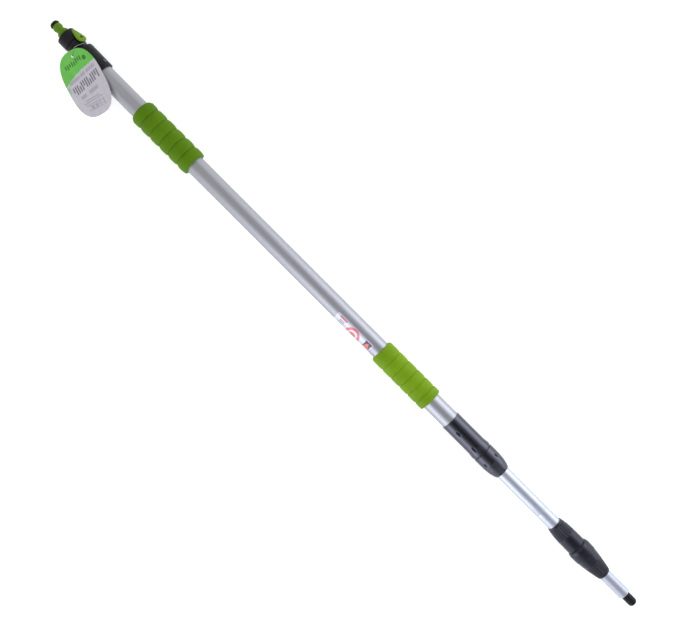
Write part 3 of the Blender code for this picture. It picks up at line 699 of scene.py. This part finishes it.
def card_material():
    p = Print("card_print", (110.0, 80.0), (-55.0, -40.0))
    g = p.g
    wobble = g.math("MULTIPLY_ADD", g.noise(g.coords(), 210.0, 4.0, 0.65), 5.0, -2.5)
    fine = g.math("MULTIPLY_ADD", g.noise(g.coords(), 900.0, 3.0, 0.7), 2.4, -1.2)
    curve = g.math("MULTIPLY_ADD", p.v, 0.205, -19.0)
    curve = g.math("ADD", curve, g.math("MULTIPLY", g.math("MULTIPLY", p.v, p.v), 0.0021))
    edge = g.math("SUBTRACT", p.u, g.math("ADD", curve, g.math("ADD", wobble, fine)))
    grey_side = g.math("MULTIPLY_ADD", edge, 3.0, 0.5, clamp=True)
    splash = g.math("MULTIPLY", p.bar(p.u, -7.0, 3.0, 31.5, 38.0),
                    g.ramp(g.noise(g.coords(), 420.0, 3.0), [(0.42, 0.0), (0.5, 1.0)]))
    grey_side = g.math("MULTIPLY", grey_side, g.math("SUBTRACT", 1.0, g.math("MULTIPLY", splash, 0.6)))
    mottle = g.noise(g.coords(), 60.0, 4.0)
    green = g.ramp(mottle, [(0.3, (0.095, 0.405, 0.040)), (0.7, (0.125, 0.465, 0.060))])
    grey = g.ramp(mottle, [(0.3, (0.432, 0.408, 0.428)), (0.7, (0.482, 0.455, 0.475))])
    base = g.mix(grey_side, green, grey)
    # a dot and plain slanted bars on the green band
    slant = p.leaning(0.22)
    marks = p.any([p.disc(-33.2, -20.0, 3.7)[0]]
                  + [p.bar(slant, low, high, a, a + 2.7) for low, high, a in (
                      (-36.8, -29.6, -13.6), (-36.8, -31.6, -9.0), (-37.6, -30.4, -4.4), (-36.0, -30.4, 0.4),
                      (-38.4, -31.2, 5.2), (-38.4, -33.2, 10.0), (-39.2, -32.0, 14.8), (-39.6, -34.4, 19.6))])
    base = g.mix(g.math("MULTIPLY", marks, 0.86), base, (0.020, 0.105, 0.012))
    # a bold row of separate bars of different heights
    lean = p.leaning(0.155)
    bold = p.any([p.bar(lean, low, high, a, a + 2.9) for low, high, a in (
        (-6.6, 6.6, -31.0), (-6.6, 1.2, -26.3), (-6.6, 6.6, -21.6), (-6.6, 6.6, -16.9), (-1.4, 6.6, -12.2),
        (-6.6, 6.6, -7.5), (-6.6, 6.6, -2.8), (-6.6, 2.0, 1.9), (-6.6, 6.6, 6.6), (-2.4, 6.6, 11.3),
        (-6.6, 6.6, 16.0), (-6.6, 6.6, 20.7), (-6.6, 1.2, 25.4))])
    base = g.mix(g.math("MULTIPLY", bold, 0.80), base, (0.105, 0.090, 0.115))
    # rows of small dashes, as lines of wording would look from afar
    small = []
    for low, high, slope, spans in ((-15.4, -10.6, 0.135, ((-30.5, -11.0), (-8.0, 3.0), (4.5, 29.0))),
                                    (12.0, 17.4, 0.10, ((-19.0, 2.0), (8.5, 21.0))),
                                    (22.6, 24.8, 0.0, ((-14.0, 16.0),)), (26.0, 28.0, 0.02, ((-19.5, 21.5),))):
        along = p.leaning(slope)
        for a, b in spans:
            small.append(p.bar(along, low, high, a, b))
    small = g.math("MULTIPLY", p.any(small), g.math("MULTIPLY_ADD", p.dashes(1.9, 0.66), 0.55, 0.45))
    base = g.mix(g.math("MULTIPLY", small, 0.55), base, (0.20, 0.18, 0.22))
    block = p.any([p.bar(p.u, 30.0, 40.6, -17.8, -15.4), p.bar(p.u, 30.2, 31.8, -13.0, 19.0),
                   p.bar(p.u, 33.0, 34.4, -12.0, 14.0), p.bar(p.u, 36.0, 37.2, -12.0, 3.0),
                   p.bar(p.u, 38.8, 40.0, -12.0, 17.0), p.disc(36.2, 8.4, 3.1)[0], p.disc(36.2, -0.4, 2.6)[0]])
    base = g.mix(g.math("MULTIPLY", block, 0.50), base, (0.19, 0.175, 0.21))
    fibre = g.noise(g.coords((1.0, 1.0, 1.0)), 1600.0, 3.0, 0.7)
    roughness = g.ramp(fibre, [(0.3, 0.42), (0.7, 0.52)])
    normal = g.bump(fibre, 0.12, 0.00005)
    return g.put(Base_Color=base, Roughness=roughness, Normal=normal, Specular_IOR_Level=0.35)


def label_material():
    p = Print("label_print", (74.0, 28.4), (0.0, 0.0))
    g = p.g
    mottle = g.noise(g.coords(), 50.0, 3.0)
    base = g.ramp(mottle, [(0.3, (0.50, 0.51, 0.56)), (0.7, (0.57, 0.58, 0.63))])
    rim = g.math("MAXIMUM", g.math("SUBTRACT", g.math("ABSOLUTE", g.math("SUBTRACT", p.u, 37.0)), 36.3),
                 g.math("SUBTRACT", g.math("ABSOLUTE", g.math("SUBTRACT", p.v, 14.2)), 13.5))
    base = g.mix(g.math("MULTIPLY", g.math("MULTIPLY_ADD", rim, 3.0, 0.5, clamp=True), 0.5), base, (0.30, 0.32, 0.40))
    red = p.any([p.ring(39.0, 14.8, 11.2, 4.4), p.disc(39.0, 14.8, 5.6)[0],
                 p.bar(p.u, 6.5, 21.0, 2.2, 5.2)])
    base = g.mix(g.math("MULTIPLY", red, 0.86), base, (0.62, 0.085, 0.085))
    black = p.any([p.bar(p.u, 60.5, 72.6, 2.2, 14.6), p.bar(p.u, 9.0, 18.5, 7.4, 8.6), p.bar(p.u, 9.0, 18.5, 10.4, 11.6), p.bar(p.u, 8.0, 18.0, 15.0, 16.4),
                   p.bar(p.u, 8.0, 18.0, 18.2, 19.6), p.bar(p.u, 8.0, 15.0, 21.4, 22.8), p.bar(p.u, 60.5, 72.6, 18.0, 19.4),
                   p.bar(p.u, 60.5, 69.0, 21.4, 22.8)])
    base = g.mix(g.math("MULTIPLY", black, 0.90), base, (0.030, 0.020, 0.024))
    slant = g.math("SUBTRACT", g.math("ABSOLUTE", g.math("SUBTRACT", p.u, 66.5)),
                   g.math("MULTIPLY", g.math("SUBTRACT", p.v, 3.2), 0.50))
    wedge = g.math("MULTIPLY", p.soft(slant), p.bar(p.u, 60.9, 72.2, 3.2, 14.2))
    base = g.mix(g.math("MULTIPLY", wedge, 0.9), base, (0.72, 0.13, 0.11))
    fine = g.noise(g.coords(), 900.0, 2.0)
    roughness = g.ramp(fine, [(0.3, 0.24), (0.7, 0.32)])
    return g.put(Base_Color=base, Roughness=roughness, Normal=g.bump(fine, 0.08, 0.00003), Specular_IOR_Level=0.5,
                 Metallic=0.35)


def weave(name, colour):
    g = Graph(name)
    fibres = g.noise(g.coords(), 2600.0, 3.0, 0.7)
    base = g.ramp(fibres, [(0.3, tuple(c * 0.75 for c in colour)), (0.7, tuple(min(1.0, c * 1.15) for c in colour))])
    roughness = g.ramp(fibres, [(0.3, 0.7), (0.7, 0.85)])
    return g.put(Base_Color=base, Roughness=roughness, Normal=g.bump(fibres, 0.4, 0.00006), Sheen_Weight=0.2,
                 Sheen_Roughness=0.5, Specular_IOR_Level=0.2)


M["card"] = card_material()
M["label_film"] = label_material()
M["card_back"] = weave("card_back", (0.78, 0.78, 0.76))
M["string"] = weave("string", (0.30, 0.30, 0.28))


def set_uv(obj, pairs, size, origin):
    layer = obj.data.uv_layers.new(name="UVMap")
    for loop in obj.data.loops:
        u, v = pairs(obj.data.vertices[loop.vertex_index].co)
        layer.data[loop.index].uv = ((u - origin[0]) / size[0], (v - origin[1]) / size[1])


# ================================================================== hang tag
LEAN, SPIN = math.radians(33.35), math.radians(22.0)
OUTWARD = Vector((0.0, -math.sin(LEAN), math.cos(LEAN)))
DOWNWARD = Vector((0.0, -math.cos(LEAN), -math.sin(LEAN)))
CARD_MID, CARD_LIFT, CARD_THICK = (-526.65, 22.74), 19.2, 0.6
HOLE, HOLE_R = (-42.95, -1.28), 2.3


def on_card(u, v, lift):
    a = CARD_MID[0] + u * math.cos(SPIN) - v * math.sin(SPIN)
    b = CARD_MID[1] + u * math.sin(SPIN) + v * math.cos(SPIN)
    return Vector((a, 0.0, 0.0)) + DOWNWARD * b + OUTWARD * lift


def off_card(co):
    p = Vector(co) / MM - Vector((0.0, 0.0, AXIS_Z))
    a, b = p.x - CARD_MID[0], p.dot(DOWNWARD) - CARD_MID[1]
    return a * math.cos(SPIN) + b * math.sin(SPIN), -a * math.sin(SPIN) + b * math.cos(SPIN)


def bow(u, v):
    return 0.45 * (max(0.0, u) / 51.0) ** 2 + 0.35 * (max(0.0, v) / 38.0) ** 2


verts, faces = [], []
AROUND = 144
shares = [k / 22.0 for k in range(23)]
for k in range(AROUND):
    angle = TAU * k / AROUND
    c, s = math.cos(angle), math.sin(angle)
    rim = (math.copysign(abs(c) ** (2 / 2.7), c) * 51.5, math.copysign(abs(s) ** (2 / 2.7), s) * 38.0)
    away = math.atan2(rim[1] - HOLE[1], rim[0] - HOLE[0])
    near = (HOLE[0] + HOLE_R * math.cos(away), HOLE[1] + HOLE_R * math.sin(away))
    top, under = [], []
    for q in shares:
        u, v = near[0] + (rim[0] - near[0]) * q, near[1] + (rim[1] - near[1]) * q
        pinch = 0.12 if q in (0.0, 1.0) else 0.0
        top.append(on_card(u, v, CARD_LIFT + CARD_THICK - pinch + bow(u, v)))
        under.append(on_card(u, v, CARD_LIFT + pinch + bow(u, v)))
    verts += [(p + Vector((0.0, 0.0, AXIS_Z))) * MM for p in top + under[::-1]]
ring = 2 * len(shares)
for k in range(AROUND):
    n = (k + 1) % AROUND
    for j in range(ring):
        m = (j + 1) % ring
        faces.append((k * ring + j, k * ring + m, n * ring + m, n * ring + j))
card = make_object("tag_card", verts, faces, M["card"], "tag", 50, ("hang_tag",), "card")
card.data.materials.append(M["card_back"])
for face in card.data.polygons:
    if face.normal.dot(OUTWARD) < -0.5:
        face.material_index = 1
set_uv(card, off_card, (110.0, 80.0), (-55.0, -40.0))

# ==================================================================== string
STRING_R = 0.4
KNOT = Vector((-567.4, -1.0, -12.9))


def above_hole(lift, shift=0.0):
    return on_card(HOLE[0], HOLE[1], lift) - DOWNWARD * shift


ROUTE = [
    KNOT + Vector((0.0, -1.6, 0.3)), Vector((-567.4, -6.5, -11.6)),
    Vector((-567.3, -11.4, -7.4)), Vector((-567.2, -13.6, -1.0)),
    Vector((-566.9, -13.9, 5.0)), above_hole(14.6, -0.3), above_hole(17.4),
    above_hole(19.6, 0.3), above_hole(21.2, 1.8), above_hole(21.0, 4.6) + Vector((-1.6, 0, 0)),
    above_hole(20.6, 9.0) + Vector((-3.0, 0, 0)), above_hole(20.4, 13.6) + Vector((-3.8, 0, 0)),
    above_hole(19.0, 18.4) + Vector((-2.4, 0, 0)), Vector((-568.4, 8.2, 14.8)),
    Vector((-568.5, 12.2, 9.4)), Vector((-568.5, 13.6, 3.0)), Vector((-568.3, 12.8, -4.0)),
    Vector((-568.2, 9.4, -9.2)), Vector((-567.8, 4.4, -12.2)), KNOT + Vector((0.0, 1.6, 0.2))]


def smooth_route(points, spacing):
    """Evenly spaced points on a Catmull-Rom curve through the given ones."""
    fine = []
    for i in range(len(points) - 1):
        p0 = points[max(i - 1, 0)]
        p1, p2 = points[i], points[i + 1]
        p3 = points[min(i + 2, len(points) - 1)]
        for k in range(12):
            s = k / 12.0
            fine.append(0.5 * ((2 * p1) + (p2 - p0) * s + (2 * p0 - 5 * p1 + 4 * p2 - p3) * s ** 2
                               + (3 * p1 - p0 - 3 * p2 + p3) * s ** 3))
    fine.append(points[-1])
    lengths = [0.0]
    for a, b in zip(fine, fine[1:]):
        lengths.append(lengths[-1] + (b - a).length)
    count = max(2, int(round(lengths[-1] / spacing)))
    out, j = [], 0
    for k in range(count + 1):
        goal = lengths[-1] * k / count
        while j < len(fine) - 2 and lengths[j + 1] < goal:
            j += 1
        share = (goal - lengths[j]) / max(lengths[j + 1] - lengths[j], 1e-9)
        out.append(fine[j].lerp(fine[j + 1], min(max(share, 0.0), 1.0)))
    return out


def strand(name, route, radius, material, body, twist, sides=12, closed=False, **more):
    """A two-ply string along a route of points from the pole's axis, in mm."""
    verts, faces = [], []
    side = None
    for i, p in enumerate(route):
        ahead = (route[(i + 1) % len(route)] if closed or i + 1 < len(route) else p) - \
                (route[i - 1] if closed or i else p)
        ahead.normalize()
        if side is None:
            side = ahead.orthogonal().normalized()
        side = (side - ahead * side.dot(ahead)).normalized()
        up = ahead.cross(side)
        for k in range(sides):
            a = TAU * k / sides
            r = radius * (1.0 + 0.13 * math.cos(2.0 * (a - twist * i)))
            verts.append((p + side * r * math.cos(a) + up * r * math.sin(a) + Vector((0, 0, AXIS_Z))) * MM)
    count = len(route)
    for i in range(count if closed else count - 1):
        j = (i + 1) % count
        for k in range(sides):
            n = (k + 1) % sides
            faces.append((i * sides + k, i * sides + n, j * sides + n, j * sides + k))
    if not closed:
        faces.append(tuple(range(sides))[::-1])
        faces.append(tuple((count - 1) * sides + k for k in range(sides)))
    return make_object(name, verts, faces, material, body, 70.0, **more)


string_route = smooth_route(ROUTE, 0.45)
string_piece = strand("string_strand", string_route, STRING_R, M["string"], "tag", 0.42, replaces=("tag_string",),
                      slot="string")
knot_route = []
for k in range(96):
    a = TAU * k / 96
    knot_route.append(KNOT + Vector((0.34 * (math.sin(a) + 2.0 * math.sin(2 * a)) * 0.9,
                                     0.34 * (math.cos(a) - 2.0 * math.cos(2 * a)) * 0.9,
                                     -0.62 * math.sin(3 * a))))
knot_piece = strand("string_knot_loops", knot_route, 0.38, M["string"], "tag", TAU * 6 / 192, closed=True,
                    replaces=("string_knot",), slot="string")

# ===================================================================== label
verts, faces = [], []
ACROSS, ALONG = 36, 40


def label_point(i, j, r):
    """Rounded corners: the end columns are drawn in."""
    x = -7.0 + 74.0 * i / ALONG
    share = j / ACROSS
    near_end = max(0.0, 1.0 - min(x + 7.0, 67.0 - x) / 1.6)
    inset = 1.6 * (1.0 - math.sqrt(max(0.0, 1.0 - near_end ** 2))) / 28.4
    angle = -math.radians(9.0 + 108.0 * (inset + share * (1.0 - 2.0 * inset)))
    return ring_point(x, r, angle)


for r in (15.03, 15.16):
    for i in range(ALONG + 1):
        for j in range(ACROSS + 1):
            verts.append(label_point(i, j, r))
layer_size = (ALONG + 1) * (ACROSS + 1)


def label_index(layer, i, j):
    return layer * layer_size + i * (ACROSS + 1) + j


for i in range(ALONG):
    for j in range(ACROSS):
        for layer in (0, 1):
            faces.append((label_index(layer, i, j), label_index(layer, i + 1, j), label_index(layer, i + 1, j + 1),
                          label_index(layer, i, j + 1)))
for i in range(ALONG):
    for j in (0, ACROSS):
        faces.append((label_index(0, i, j), label_index(0, i + 1, j), label_index(1, i + 1, j), label_index(1, i, j)))
for j in range(ACROSS):
    for i in (0, ALONG):
        faces.append((label_index(0, i, j), label_index(0, i, j + 1), label_index(1, i, j + 1), label_index(1, i, j)))
label = make_object("tube_label_film", verts, faces, M["label_film"], "main_section", 50, ("tube_label",), "label_film")
set_uv(label, lambda co: (co.x / MM + 7.0,
                          (math.degrees(math.atan2(-co.y, co.z - AXIS_Z * MM)) - 9.0) / 108.0 * 28.4),
       (74.0, 28.4), (0.0, 0.0))

# ============================================================= stage, light
floor_graph = Graph("floor_paper")
floor_tone = floor_graph.noise(floor_graph.coords(), 3.0, 2.0)
floor_material = floor_graph.put(Base_Color=floor_graph.ramp(floor_tone, [(0.0, 0.80), (1.0, 0.83)]), Roughness=0.85,
                                 Specular_IOR_Level=0.1, Emission_Color=(1.0, 1.0, 1.0), Emission_Strength=0.50)
bpy.ops.mesh.primitive_plane_add(size=30.0, location=(0.0, 0.0, 0.0))
floor = bpy.context.object
floor.name = "floor"
floor.data.materials.append(floor_material)

world = bpy.data.worlds.new("studio")
scene.world = world
world.use_nodes = True
wt = world.node_tree
background = wt.nodes["Background"]


def wnode(kind, **settings):
    made = wt.nodes.new(kind)
    for key, value in settings.items():
        setattr(made, key, value)
    return made


def wmath(operation, a, b=None, c=None, clamp=False):
    m = wnode("ShaderNodeMath", operation=operation)
    m.use_clamp = clamp
    for socket, value in zip(m.inputs, (a, b, c)):
        if value is None:
            continue
        if isinstance(value, (int, float)):
            socket.default_value = value
        else:
            wt.links.new(value, socket)
    return m.outputs[0]


coord = wnode("ShaderNodeTexCoord")
split = wnode("ShaderNodeSeparateXYZ")
wt.links.new(coord.outputs["Generated"], split.inputs[0])
# a dark strip overhead along the pole, paler towards the hose end
strip = wmath("MULTIPLY_ADD", wmath("ABSOLUTE", split.outputs["Y"]), 1.0 / 0.34, -0.12 / 0.34, clamp=True)
levels = wnode("ShaderNodeValToRGB")
while len(levels.color_ramp.elements) < len(STRIP):
    levels.color_ramp.elements.new(0.5)
for element, (x, value) in zip(levels.color_ramp.elements, STRIP):
    element.position = (x + 1.0) / 2.0
    element.color = cool(x, value, 2.0)
wt.links.new(wmath("MULTIPLY_ADD", split.outputs["X"], 0.5, 0.5), levels.inputs["Fac"])
above = wnode("ShaderNodeMix", data_type="RGBA", blend_type="MIX")
wt.links.new(strip, above.inputs[0])
wt.links.new(levels.outputs["Color"], above.inputs[6])
above.inputs[7].default_value = (SIDES / 2.0, SIDES / 2.0, SIDES / 2.0 * 1.05, 1.0)
wt.links.new(above.outputs[2], background.inputs["Color"])
background.inputs["Strength"].default_value = 2.0


def softwall(name, y, levels, colour=(1.0, 1.0, 1.0)):
    """A long upright diffuser beside the pole, brighter towards the brush end, fading upwards."""
    length, height = 3.6, 1.75
    data = bpy.data.lights.new(name, "AREA")
    data.shape = "RECTANGLE"
    data.size, data.size_y = length, height
    data.energy = math.pi * length * height
    data.color = colour
    data.use_nodes = True
    lt = data.node_tree
    emission = lt.nodes["Emission"]
    geometry = lt.nodes.new("ShaderNodeNewGeometry")
    parts = lt.nodes.new("ShaderNodeSeparateXYZ")
    lt.links.new(geometry.outputs["Position"], parts.inputs[0])
    place = lt.nodes.new("ShaderNodeMapRange")
    place.inputs["From Min"].default_value = -1.2
    place.inputs["From Max"].default_value = 1.2
    lt.links.new(parts.outputs["X"], place.inputs["Value"])
    ramp = lt.nodes.new("ShaderNodeValToRGB")
    ramp.color_ramp.interpolation = "EASE"
    while len(ramp.color_ramp.elements) < len(levels):
        ramp.color_ramp.elements.new(0.5)
    for element, (x, value) in zip(ramp.color_ramp.elements, levels):
        element.position = (x + 1.2) / 2.4
        element.color = cool(x, value, 4.5)
    lt.links.new(place.outputs["Result"], ramp.inputs["Fac"])
    fade = lt.nodes.new("ShaderNodeMapRange")
    fade.interpolation_type = "SMOOTHSTEP"
    for socket, value in (("From Min", 0.45), ("From Max", 1.75), ("To Min", 4.5), ("To Max", 0.0)):
        fade.inputs[socket].default_value = value
    lt.links.new(parts.outputs["Z"], fade.inputs["Value"])
    lt.links.new(ramp.outputs["Color"], emission.inputs["Color"])
    lt.links.new(fade.outputs["Result"], emission.inputs["Strength"])
    made = bpy.data.objects.new(name, data)
    made.location = (0.0, y, height / 2 + 0.01)
    made.rotation_euler = (Vector((0.0, 0.0, height / 2 + 0.01)) - Vector(made.location)).to_track_quat("-Z", "Y").to_euler()
    scene.collection.objects.link(made)
    return made


softwall("wall_left", 1.15, WALL_LEFT, (0.94, 0.955, 0.98))
softwall("wall_right", -1.15, WALL_RIGHT, (0.94, 0.955, 0.98))


# ============================================== materials on carried CAD nodes
for entry in frame["record"]["subparts"]:
    node, slot_name = entry["node"], entry["material_slot"]
    obj = NODES[node]
    if slot_name in M:
        if not obj.material_slots:
            obj.data.materials.append(M[slot_name])
        for ms in obj.material_slots:
            ms.material = M[slot_name]
